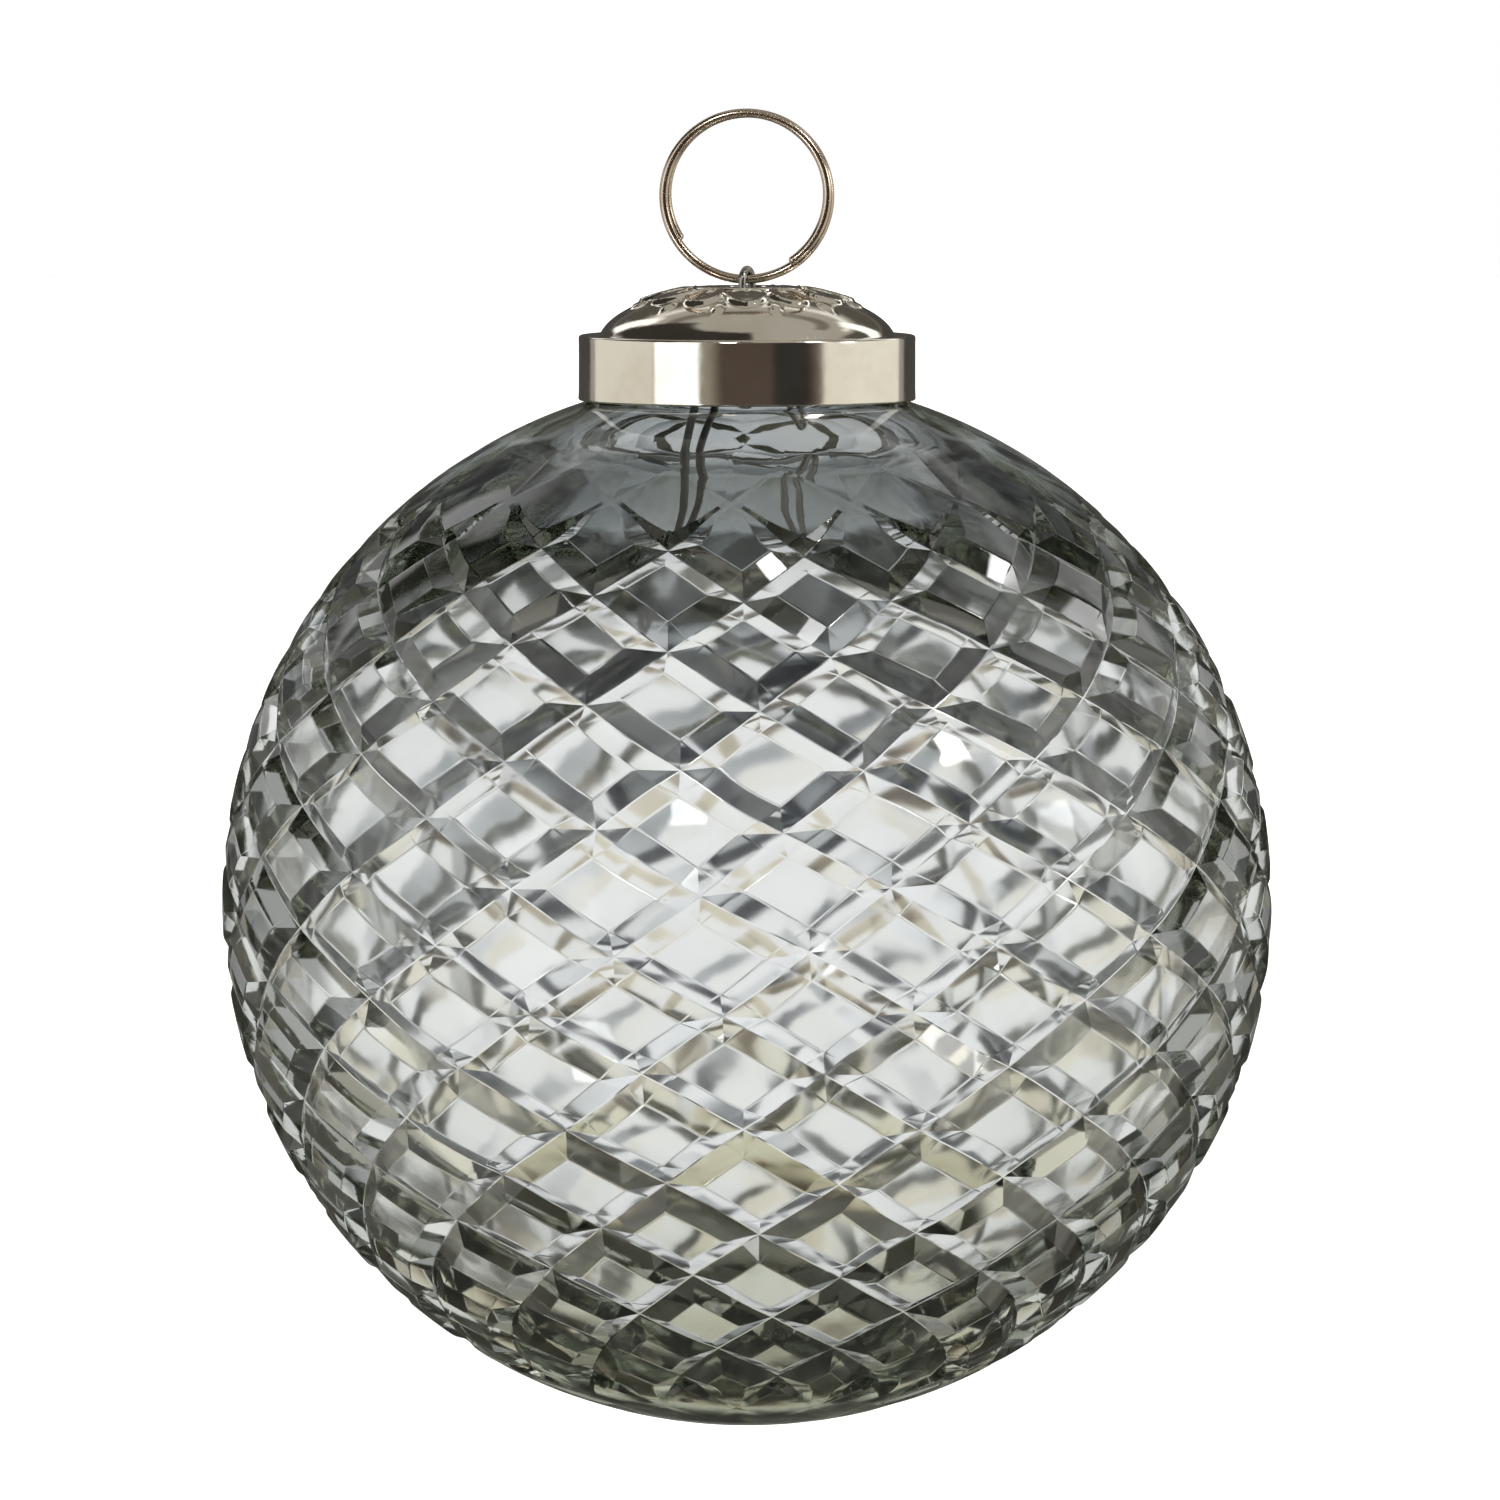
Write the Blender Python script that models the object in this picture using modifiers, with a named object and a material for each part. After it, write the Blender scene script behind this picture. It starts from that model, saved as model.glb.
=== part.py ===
"""Cut-glass ball ornament: a hollow glass ball with a stamped metal cap, a sprung wire hanger and a split ring.

The origin is the point where a hook or a thread holds the ornament: the inside of the split ring, at its top.
+Z is up and -Y is the front. Heights in the dimensions below are above the centre of the ball.
"""

import math

import bmesh
import bpy
from mathutils import Matrix, Vector

MM = 0.001

# Glass ball
BALL_RADIUS = 50 * MM
INSIDE_RADIUS = 46 * MM
INSIDE_RISE = 1 * MM  # the hollow sits this much higher than the ball, so the base is the thickest part
NECK_RADIUS = 14.6 * MM
BORE_RADIUS = 11.5 * MM
NECK_TOP = 53 * MM
NECK_ROUNDING = 0.8 * MM
SHOULDER_LATITUDES = (54, 61, 67)  # degrees
BASE_LATITUDES = (-67, -74, -81, -88)  # degrees
INSIDE_RINGS = 16

# Wheel-cut grooves: two families of spirals that cross, one steeper than the other
GROOVES = 17  # in each family
CUT_TOP = 45.7  # degrees of latitude
CUT_BOTTOM = -59.6  # degrees of latitude
CUT_ROWS = 16  # half diamonds between the top and the bottom
STEEP_SHARE = 0.444  # part of a groove spacing that a rising groove covers in one row
CUT_PHASE = 8.8  # degrees from the front
GROOVE_DEPTH = 1 * MM
GROOVE_HALF_WIDTH = 2.1 * MM
GROOVE_RUNOUT = 3.1  # degrees of latitude from the last groove to the uncut glass

# Stamped cap
SHEET = 0.5 * MM
BAND_RADIUS = 16 * MM
BAND_BOTTOM = 47.7 * MM
BAND_TOP = 53.9 * MM
BAND_ROUNDING = 0.3 * MM
DOME_RADIUS = 14.2 * MM
DOME_RISE = 5.6 * MM
DOME_BASE = 53 * MM
DOME_STEPS = 9
BOSS_RADIUS = 5.2 * MM
BOSS_TOP = 58.5 * MM
CAP_HOLE_RADIUS = 1.9 * MM
CAP_STEPS = 68

# Split ring, a coil of a little under two turns
RING_WIRE = 0.85 * MM
RING_RADIUS = 8 * MM  # to the middle of the wire, in the single stretch at the bottom
RING_START = math.radians(305)
RING_END = math.radians(932)
RING_PITCH = 0.97 * MM
RING_DRIFT = 0.45 * MM  # how far each end lies inside the middle of the coil
RING_GAP = 0.2 * MM  # from the boss up to the wire
RING_POINT_STEP = math.radians(8)

# Sprung wire hanger: an eye above the cap, and two hairpin legs below it
HANGER_WIRE = 0.75 * MM
EYE_RADIUS = 1.05 * MM  # to the middle of the wire
EYE_GAP = 0.12 * MM  # from the ring's wire up to the eye
EYE_STEPS = 12
HANGER_TURN = math.radians(65)  # of the hanger's plane from the ring's plane
LEG_TOP = 56.6 * MM
LEG_GAP = 0.3 * MM  # between the eye's ends and the legs
LEG_DROP = 21.4 * MM  # from the top of a leg to the end of its inner strand
LEG_REACH = 13.4 * MM
LEG_START_SLOPE = 0.35
LEG_STEPS = 12
HAIRPIN_RADIUS = 0.8 * MM
HAIRPIN_STEPS = 6
RETURN_SLOPE = 0.35
RETURN_NECK_REACH = 10.7 * MM  # from the axis to the outer strand where it stands in the neck
RETURN_NECK_HEIGHT = 46.6 * MM
RETURN_TOP = 50.5 * MM

RING_WIRE_HEIGHT = BOSS_TOP + RING_GAP + RING_WIRE / 2
RING_CENTRE_HEIGHT = RING_WIRE_HEIGHT + RING_RADIUS


def ring_radius_at(angle):
    """The coil's radius to the middle of its wire: largest half way along, and smaller towards both ends."""
    middle = (RING_START + RING_END) / 2
    return RING_RADIUS - RING_DRIFT * abs(angle - middle) / (RING_END - middle)


HANG_HEIGHT = RING_CENTRE_HEIGHT + ring_radius_at(math.radians(810)) - RING_WIRE / 2


def at_height(height):
    """A point on the ornament's axis, from its height above the centre of the ball."""
    return Vector((0, 0, height - HANG_HEIGHT))


def clear_scene():
    for obj in list(bpy.data.objects):
        bpy.data.objects.remove(obj, do_unlink=True)


def make_material(name, color, roughness, metallic=0.0, transmission=0.0):
    material = bpy.data.materials.new(name)
    material.use_nodes = True
    shader = material.node_tree.nodes["Principled BSDF"]
    shader.inputs["Base Color"].default_value = (*color, 1)
    shader.inputs["Roughness"].default_value = roughness
    shader.inputs["Metallic"].default_value = metallic
    shader.inputs["Transmission Weight"].default_value = transmission
    material.diffuse_color = (*color, 1)
    return material


def place(name, data, material, location, turn=0.0):
    """Adds an object to the ornament's collection, at its place."""
    data.materials.append(material)
    obj = bpy.data.objects.new(name, data)
    obj.location = location
    obj.rotation_euler.z = turn
    bpy.data.collections["glass_ball_ornament"].objects.link(obj)
    return obj


def make_wire(name, points, thickness, material, location, turn=0.0):
    """A round wire along the points, with closed ends."""
    curve = bpy.data.curves.new(name, "CURVE")
    curve.dimensions = "3D"
    curve.bevel_depth = thickness / 2
    curve.bevel_resolution = 2
    curve.use_fill_caps = True
    spline = curve.splines.new("POLY")
    spline.points.add(len(points) - 1)
    for target, point in zip(spline.points, points):
        target.co = (*point, 1)
    return place(name, curve, material, location, turn)


def turned(name, outline, steps, material, location):
    """A solid turned about Z from a closed outline of (radius, height) pairs."""
    mesh = bpy.data.meshes.new(name)
    count = len(outline)
    edges = [(index, (index + 1) % count) for index in range(count)]
    mesh.from_pydata([(radius, 0, height) for radius, height in outline], edges, [])
    obj = place(name, mesh, material, location)
    screw = obj.modifiers.new("Turn", "SCREW")
    screw.steps = steps
    screw.render_steps = steps
    screw.use_merge_vertices = True
    screw.merge_threshold = 0.00001
    return obj


def arc(centre_radius, centre_height, width, height, start, end, steps):
    """(radius, height) pairs on an elliptical arc. Angles are in degrees from the horizontal."""
    angles = [math.radians(start + (end - start) * step / steps) for step in range(steps + 1)]
    return [
        (centre_radius + width * math.cos(angle), centre_height + height * math.sin(angle))
        for angle in angles
    ]


def on_ball(radius, azimuth, latitude):
    """A point at this azimuth from the front, counted towards +X, and this latitude. Both are in degrees."""
    azimuth = math.radians(azimuth)
    latitude = math.radians(latitude)
    level = radius * math.cos(latitude)
    return Vector((level * math.sin(azimuth), -level * math.cos(azimuth), radius * math.sin(latitude)))


def groove_crossing(groove, row):
    """Where a rising groove meets a falling one, in a row counted from the top."""
    azimuth = CUT_PHASE + 360 / GROOVES * (groove - STEEP_SHARE * row)
    latitude = CUT_TOP + (CUT_BOTTOM - CUT_TOP) * row / CUT_ROWS
    return on_ball(BALL_RADIUS - GROOVE_DEPTH, azimuth, latitude)


def add_cut_band(mesh):
    """The band of cut diamonds: one strip between two rising grooves, repeated round the ball."""
    rows = CUT_ROWS - 1
    strip = bmesh.ops.create_grid(mesh, x_segments=1, y_segments=rows, size=1)["verts"]
    for vert in strip:
        side = round((vert.co.x + 1) / 2)
        row = round((vert.co.y + 1) / 2 * rows)
        vert.co = groove_crossing(side, row + side)
    first = list(mesh.faces)
    for column in range(1, GROOVES):
        copy = bmesh.ops.duplicate(mesh, geom=first)["geom"]
        bmesh.ops.rotate(
            mesh,
            cent=(0, 0, 0),
            matrix=Matrix.Rotation(math.tau * column / GROOVES, 3, "Z"),
            verts=[item for item in copy if isinstance(item, bmesh.types.BMVert)],
        )
    bmesh.ops.remove_doubles(mesh, verts=mesh.verts, dist=0.00001)


def raise_diamonds(mesh):
    """Leaves a plateau at the ball's full radius inside each diamond, with a groove's slope on its four sides."""
    diamonds = list(mesh.faces)
    bmesh.ops.inset_individual(
        mesh, faces=diamonds, thickness=GROOVE_HALF_WIDTH, use_even_offset=True
    )
    for diamond in diamonds:
        for vert in diamond.verts:
            vert.co = vert.co.normalized() * BALL_RADIUS


def extend(mesh, edges, move):
    """Extends an open edge loop by one more loop, whose points move() works out from the old ones."""
    made = bmesh.ops.extrude_edge_only(mesh, edges=edges)["geom"]
    for vert in made:
        if isinstance(vert, bmesh.types.BMVert):
            vert.co = move(vert.co)
    return [item for item in made if isinstance(item, bmesh.types.BMEdge)]


def past_the_cut(point, latitude_step):
    latitude = math.degrees(math.asin(point.normalized().z)) + latitude_step
    azimuth = math.degrees(math.atan2(point.x, -point.y))
    return on_ball(BALL_RADIUS, azimuth, latitude)


def add_rings(mesh, edges, outline):
    """Extends an open edge loop along (radius, height) pairs, keeping each point's direction from the axis."""
    for radius, height in outline:

        def to_ring(point, radius=radius, height=height):
            level = Vector((point.x, point.y, 0)).normalized() * radius
            return level + Vector((0, 0, height))

        edges = extend(mesh, edges, to_ring)
    return edges


def neck_and_inside_outline():
    """(radius, height) pairs up the shoulder and the neck, over its rim, down the bore and round the hollow."""
    shoulder = [
        (BALL_RADIUS * math.cos(math.radians(latitude)), BALL_RADIUS * math.sin(math.radians(latitude)))
        for latitude in SHOULDER_LATITUDES
    ]
    foot_latitude = math.degrees(math.acos((NECK_RADIUS + NECK_ROUNDING) / BALL_RADIUS))
    foot = on_ball(BALL_RADIUS, 90, foot_latitude)
    neck_foot = [(foot.x, foot.z), (NECK_RADIUS, foot.z + NECK_ROUNDING)]
    middle = (NECK_RADIUS + BORE_RADIUS) / 2
    rim = arc(
        middle, NECK_TOP - NECK_ROUNDING, NECK_RADIUS - middle, NECK_ROUNDING, 0, 180, 6
    )
    mouth = math.degrees(math.acos((BORE_RADIUS + NECK_ROUNDING) / INSIDE_RADIUS))
    inside = arc(
        0, INSIDE_RISE, INSIDE_RADIUS, INSIDE_RADIUS, mouth, -88, INSIDE_RINGS
    )
    bore_end = (BORE_RADIUS, inside[0][1] + NECK_ROUNDING)
    return [*shoulder, *neck_foot, *rim, bore_end, *inside]


def base_outline():
    return [
        (BALL_RADIUS * math.cos(math.radians(latitude)), BALL_RADIUS * math.sin(math.radians(latitude)))
        for latitude in BASE_LATITUDES
    ]


def close_off(mesh, edges):
    bmesh.ops.edgeloop_fill(mesh, edges=edges)


def make_glass_ball(material):
    mesh = bmesh.new()
    add_cut_band(mesh)
    raise_diamonds(mesh)
    open_edges = [edge for edge in mesh.edges if edge.is_boundary]
    upper = [edge for edge in open_edges if edge.verts[0].co.z > 0]
    lower = [edge for edge in open_edges if edge.verts[0].co.z < 0]
    upper = extend(mesh, upper, lambda point: past_the_cut(point, GROOVE_RUNOUT))
    close_off(mesh, add_rings(mesh, upper, neck_and_inside_outline()))
    lower = extend(mesh, lower, lambda point: past_the_cut(point, -GROOVE_RUNOUT))
    close_off(mesh, add_rings(mesh, lower, base_outline()))
    bmesh.ops.recalc_face_normals(mesh, faces=mesh.faces)
    data = bpy.data.meshes.new("glass_ball")
    mesh.to_mesh(data)
    mesh.free()
    return place("glass_ball", data, material, at_height(0))


def make_cap_shell(material):
    """A plain band with a flat ledge at its top, and a low dome with a round boss on it, in one sheet."""
    ledge_angle = math.degrees(math.asin((BAND_TOP - DOME_BASE) / DOME_RISE))
    boss_angle = math.degrees(math.acos(BOSS_RADIUS / DOME_RADIUS))
    dome = arc(0, DOME_BASE, DOME_RADIUS, DOME_RISE, boss_angle, ledge_angle, DOME_STEPS)
    under_dome = arc(
        0, DOME_BASE - SHEET, DOME_RADIUS - SHEET, DOME_RISE, ledge_angle, boss_angle, DOME_STEPS
    )
    outside = [
        (CAP_HOLE_RADIUS, BOSS_TOP),
        (BOSS_RADIUS - BAND_ROUNDING / 2, BOSS_TOP),
        (BOSS_RADIUS, BOSS_TOP - BAND_ROUNDING / 2),
        *dome,
        (BAND_RADIUS - BAND_ROUNDING, BAND_TOP),
        (BAND_RADIUS, BAND_TOP - BAND_ROUNDING),
        (BAND_RADIUS, BAND_BOTTOM),
    ]
    inside = [
        (BAND_RADIUS - SHEET, BAND_BOTTOM),
        (BAND_RADIUS - SHEET, BAND_TOP - SHEET),
        *under_dome,
        (CAP_HOLE_RADIUS, BOSS_TOP - SHEET),
    ]
    return turned("cap_shell", outside + inside, CAP_STEPS, material, at_height(0))


def make_split_ring(material):
    middle = (RING_START + RING_END) / 2
    count = round((RING_END - RING_START) / RING_POINT_STEP)
    points = []
    for index in range(count + 1):
        angle = RING_START + (RING_END - RING_START) * index / count
        radius = ring_radius_at(angle)
        side = RING_PITCH * (angle - middle) / math.tau
        points.append((radius * math.cos(angle), side, radius * math.sin(angle)))
    return make_wire("split_ring", points, RING_WIRE, material, at_height(RING_CENTRE_HEIGHT))


def make_hanger_eye(material):
    """An upside-down U that holds the ring's wire, with both ends through the hole in the cap."""
    arc_centre = RING_WIRE / 2 + EYE_GAP + HANGER_WIRE / 2 - EYE_RADIUS
    loop = arc(0, arc_centre, EYE_RADIUS, EYE_RADIUS, 0, 180, EYE_STEPS)
    end = LEG_TOP + LEG_GAP - RING_WIRE_HEIGHT
    outline = [(EYE_RADIUS, end), *loop, (-EYE_RADIUS, end)]
    points = [(reach, 0, height) for reach, height in outline]
    return make_wire(
        "hanger_eye", points, HANGER_WIRE, material, at_height(RING_WIRE_HEIGHT), HANGER_TURN
    )


def leg_outline():
    """(reach, height) pairs of one hairpin leg: down and out, round the hairpin, and up again into the neck."""
    bend = (LEG_REACH - EYE_RADIUS - LEG_START_SLOPE * LEG_DROP) / LEG_DROP**2
    drops = [LEG_DROP * step / LEG_STEPS for step in range(LEG_STEPS + 1)]
    inner = [
        (EYE_RADIUS + LEG_START_SLOPE * drop + bend * drop**2, LEG_TOP - drop) for drop in drops
    ]
    slope = LEG_START_SLOPE + 2 * bend * LEG_DROP
    start = math.degrees(math.atan2(-slope, -1)) + 360
    end = math.degrees(math.atan(RETURN_SLOPE)) + 360
    across = math.radians(start)
    centre = (
        inner[-1][0] - HAIRPIN_RADIUS * math.cos(across),
        inner[-1][1] - HAIRPIN_RADIUS * math.sin(across),
    )
    bottom = arc(*centre, HAIRPIN_RADIUS, HAIRPIN_RADIUS, start, end, HAIRPIN_STEPS)
    outer = [
        (RETURN_NECK_REACH, RETURN_NECK_HEIGHT),
        (RETURN_NECK_REACH, RETURN_TOP),
    ]
    return inner + bottom[1:] + outer


def make_clip_leg(name, turn, material):
    points = [(reach - EYE_RADIUS, 0, height - LEG_TOP) for reach, height in leg_outline()]
    pivot = Matrix.Rotation(turn, 3, "Z") @ Vector((EYE_RADIUS, 0, 0)) + at_height(LEG_TOP)
    return make_wire(name, points, HANGER_WIRE, material, pivot, turn)


def main():
    clear_scene()
    collection = bpy.data.collections.new("glass_ball_ornament")
    bpy.context.scene.collection.children.link(collection)
    glass = make_material("smoky_glass", (0.72, 0.75, 0.72), 0.02, transmission=1.0)
    nickel = make_material("nickel_plate", (0.78, 0.75, 0.68), 0.15, metallic=1.0)
    ring_steel = make_material("ring_steel", (0.62, 0.55, 0.45), 0.3, metallic=1.0)
    spring_steel = make_material("spring_steel", (0.2, 0.19, 0.18), 0.4, metallic=1.0)
    make_glass_ball(glass)
    make_cap_shell(nickel)
    make_split_ring(ring_steel)
    make_hanger_eye(spring_steel)
    make_clip_leg("clip_leg_right", HANGER_TURN, spring_steel)
    make_clip_leg("clip_leg_left", HANGER_TURN + math.pi, spring_steel)


main()
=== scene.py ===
import math

import bpy
import numpy as np
from mathutils import Matrix, Vector, noise


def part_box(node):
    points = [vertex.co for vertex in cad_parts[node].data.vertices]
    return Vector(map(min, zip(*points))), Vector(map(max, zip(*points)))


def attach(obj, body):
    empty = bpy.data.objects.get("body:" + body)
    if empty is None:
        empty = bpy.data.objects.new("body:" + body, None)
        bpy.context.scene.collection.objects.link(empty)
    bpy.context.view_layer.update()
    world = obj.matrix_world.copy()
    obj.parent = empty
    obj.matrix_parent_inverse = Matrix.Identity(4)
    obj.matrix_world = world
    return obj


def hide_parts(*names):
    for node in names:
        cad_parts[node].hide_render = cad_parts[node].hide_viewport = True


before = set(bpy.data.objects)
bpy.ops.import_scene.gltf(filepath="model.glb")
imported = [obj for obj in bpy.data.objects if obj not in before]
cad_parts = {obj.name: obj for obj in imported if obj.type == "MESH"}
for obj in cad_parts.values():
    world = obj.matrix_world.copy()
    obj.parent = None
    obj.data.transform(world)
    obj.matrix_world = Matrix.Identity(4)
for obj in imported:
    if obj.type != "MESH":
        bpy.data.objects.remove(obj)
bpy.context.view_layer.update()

MM = 0.001

# ---------------------------------------------------------------- the model's own sizes, as in the CAD
BALL_RADIUS = 50 * MM
INSIDE_RADIUS = 46 * MM
INSIDE_RISE = 1 * MM
NECK_RADIUS = 14.6 * MM
BORE_RADIUS = 11.5 * MM
NECK_TOP = 53 * MM
NECK_ROUNDING = 0.8 * MM
NECK_FILLET = 1 * MM
MOUTH_FILLET = 2.1 * MM

GROOVES = 17
CUT_ROWS = 16
CUT_TOP = 45.7
CUT_BOTTOM = -59.6
STEEP_SHARE = 0.444
CUT_PHASE = 8.8
GROOVE_DEPTH = 1.0 * MM

SHEET = 0.5 * MM
BAND_RADIUS = 16 * MM
BAND_BOTTOM = 47.7 * MM
BAND_TOP = 53.9 * MM
DOME_RADIUS = 14.2 * MM
DOME_RISE = 5.6 * MM
DOME_BASE = 53 * MM
BOSS_RADIUS = 5.2 * MM
BOSS_TOP = 58.5 * MM
CAP_HOLE_RADIUS = 1.9 * MM

RING_WIRE = 0.85 * MM
RING_RADIUS = 8 * MM
RING_START = math.radians(305)
RING_END = math.radians(932)
RING_PITCH = 0.97 * MM
RING_DRIFT = 0.45 * MM

HANGER_WIRE = 0.75 * MM
EYE_RADIUS = 1.05 * MM
EYE_GAP = 0.12 * MM
HANGER_TURN = math.radians(65)
LEG_TOP = 56.6 * MM
LEG_GAP = 0.3 * MM
LEG_DROP = 21.4 * MM
LEG_REACH = 13.4 * MM
LEG_START_SLOPE = 0.35
HAIRPIN_RADIUS = 0.8 * MM
RETURN_SLOPE = 0.35
RETURN_NECK_REACH = 10.7 * MM
RETURN_NECK_HEIGHT = 46.6 * MM
RETURN_TOP = 50.5 * MM

# ---------------------------------------------------------------- places, from the frame
ball_centre = Vector((0, 0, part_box("glass_ball")[1].z - NECK_TOP))
ring_centre = Vector((0, 0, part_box("split_ring")[0].z + RING_RADIUS + RING_WIRE / 2))
ring_wire_height = ring_centre.z - RING_RADIUS - ball_centre.z


# ---------------------------------------------------------------- meshes
def new_object(name, points, faces, material, smooth_angle=None):
    mesh = bpy.data.meshes.new(name)
    mesh.from_pydata([tuple(point) for point in points], [], faces)
    mesh.validate()
    mesh.materials.append(material)
    mesh.polygons.foreach_set("use_smooth", [True] * len(mesh.polygons))
    if smooth_angle is not None:
        mesh.set_sharp_from_angle(angle=math.radians(smooth_angle))
    obj = bpy.data.objects.new(name, mesh)
    bpy.context.scene.collection.objects.link(obj)
    return obj


def weigh_normals(obj):
    modifier = obj.modifiers.new("Flat facets", "WEIGHTED_NORMAL")
    modifier.weight = 90
    modifier.keep_sharp = True


def noise_at(directions, scale, seed):
    """Smooth noise, about -1 to 1, at each row of directions."""
    shift = Vector((seed * 3.7, -seed * 1.9, seed * 5.3))
    return np.array([noise.noise(Vector(row) * scale + shift) for row in directions]) * 1.6


def arc(centre_radius, centre_height, width, height, start, end, steps):
    angles = [math.radians(start + (end - start) * step / steps) for step in range(steps + 1)]
    return [
        (centre_radius + width * math.cos(angle), centre_height + height * math.sin(angle))
        for angle in angles
    ]


def bend(start, corner, end, steps):
    """Points on a curve that rounds off a corner."""
    points = []
    for step in range(steps + 1):
        t = step / steps
        points.append(
            tuple(
                (1 - t) ** 2 * a + 2 * t * (1 - t) * b + t * t * c
                for a, b, c in zip(start, corner, end)
            )
        )
    return points


def directions_of(azimuth, latitude):
    azimuth = np.radians(azimuth)
    latitude = np.radians(latitude)
    level = np.cos(latitude)
    return np.stack([level * np.sin(azimuth), -level * np.cos(azimuth), np.sin(latitude)], axis=-1)


class Surface:
    """Points and faces that grow ring by ring."""

    def __init__(self):
        self.points = []
        self.faces = []

    def add(self, points):
        start = len(self.points)
        self.points.extend(tuple(point) for point in points)
        return list(range(start, len(self.points)))

    def face(self, corners, flip):
        self.faces.append(corners[::-1] if flip else corners)

    def bridge(self, a, b, flip=False):
        """Joins ring a to ring b. Ring b may have as many points, or half as many."""
        count = len(a)
        if len(b) == count:
            for c in range(count):
                n = (c + 1) % count
                self.face([a[c], a[n], b[n], b[c]], flip)
        else:
            for c in range(len(b)):
                n = (c + 1) % len(b)
                left, middle, right = a[2 * c], a[2 * c + 1], a[(2 * c + 2) % count]
                self.face([left, middle, b[c]], flip)
                self.face([middle, right, b[n], b[c]], flip)

    def close(self, ring, tip, flip=False):
        for c in range(len(ring)):
            self.face([ring[c], ring[(c + 1) % len(ring)], tip], flip)


# ---------------------------------------------------------------- the cut glass ball
STEPS = 12  # grid steps across one diamond
EDGE_LINES = np.array([0, 0.07, 1.95, 2.1, 2.25]) * MM  # from the middle of a groove
EDGE_DEPTHS = np.array([1, 1, 0.074, 0.02, 0, 0, 0])
ROW_HEIGHT = (CUT_TOP - CUT_BOTTOM) / CUT_ROWS
SPACING = 360 / GROOVES
RUNOUT_ROWS = 0.6
EXTRA_ROWS = 2
UPPER_LATITUDES = [60.5, 62, 63.5, 65, 66.5, 68, 69.5, 70.8]
LOWER_LATITUDES = [-74.5, -76, -78, -80.5, -83, -85.5, -88]
INSIDE_RINGS = 66
INSIDE_END = -89


def groove_spacing(latitude, turn_per_row):
    """The distance between neighbouring grooves, square to them."""
    level = np.cos(np.radians(latitude))
    slope = turn_per_row / ROW_HEIGHT
    return BALL_RADIUS * math.radians(SPACING) * level / np.sqrt(1 + (slope * level) ** 2)


def line_share(step, spacing, width):
    """Where a grid line lies between two grooves, as a share of their spacing."""
    near = np.minimum(step, STEPS - step)
    edge = EDGE_LINES[np.minimum(near, 4)] * width / spacing
    last = EDGE_LINES[4] * width / spacing
    share = np.where(near <= 4, edge, np.where(near == 5, (last + 0.5) / 2, 0.5))
    return np.where(step <= STEPS // 2, share, 1 - share)


def lattice_points(p, q):
    """Points on the cut band, from the grid numbers along the two families of grooves."""
    i, k = p // STEPS, p % STEPS
    j, l = q // STEPS, q % STEPS
    u = p / STEPS
    v = q / STEPS
    rise = STEEP_SHARE * SPACING
    fall = SPACING - rise
    width_a = np.ones(len(p))
    width_b = np.ones(len(p))
    # A point's row depends on the groove widths there and the widths on the row, so this repeats.
    for turn in range(7):
        row = u + v
        over = np.maximum(np.maximum(-row, row - CUT_ROWS), 0) / RUNOUT_ROWS
        strength = np.clip(1 - over**2, 0, 1)
        if turn == 4:
            azimuth = CUT_PHASE + SPACING * (u - STEEP_SHARE * row)
            rough = directions_of(azimuth, CUT_TOP - ROW_HEIGHT * row)
            width_a = 1 + 0.09 * noise_at(rough, 5.5, 1)
            width_b = 1 + 0.09 * noise_at(rough, 5.5, 2)
        latitude = CUT_TOP - ROW_HEIGHT * row
        narrow = np.maximum(strength, 0.25)
        u = i + line_share(k, groove_spacing(latitude, rise), width_a * narrow)
        v = j + line_share(l, groove_spacing(latitude, fall), width_b * narrow)
    row = u + v
    azimuth = CUT_PHASE + SPACING * (u - STEEP_SHARE * row)
    latitude = CUT_TOP - ROW_HEIGHT * row
    rough = directions_of(azimuth, latitude)
    calm = np.clip(1 - np.maximum(-row, row - CUT_ROWS) / EXTRA_ROWS, 0, 1)
    azimuth = azimuth + calm * (0.75 * noise_at(rough, 1.7, 3) + 0.3 * noise_at(rough, 6, 4))
    latitude = latitude + calm * (0.6 * noise_at(rough, 1.7, 5) + 0.25 * noise_at(rough, 6, 6))
    deep_a = width_a * EDGE_DEPTHS[np.minimum(k, STEPS - k)]
    deep_b = width_b * EDGE_DEPTHS[np.minimum(l, STEPS - l)]
    depth = GROOVE_DEPTH * strength * np.maximum(deep_a, deep_b)
    radius = BALL_RADIUS - depth + 0.03 * MM * noise_at(rough, 9, 7) * calm
    return directions_of(azimuth, latitude) * radius[:, None], azimuth


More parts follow.
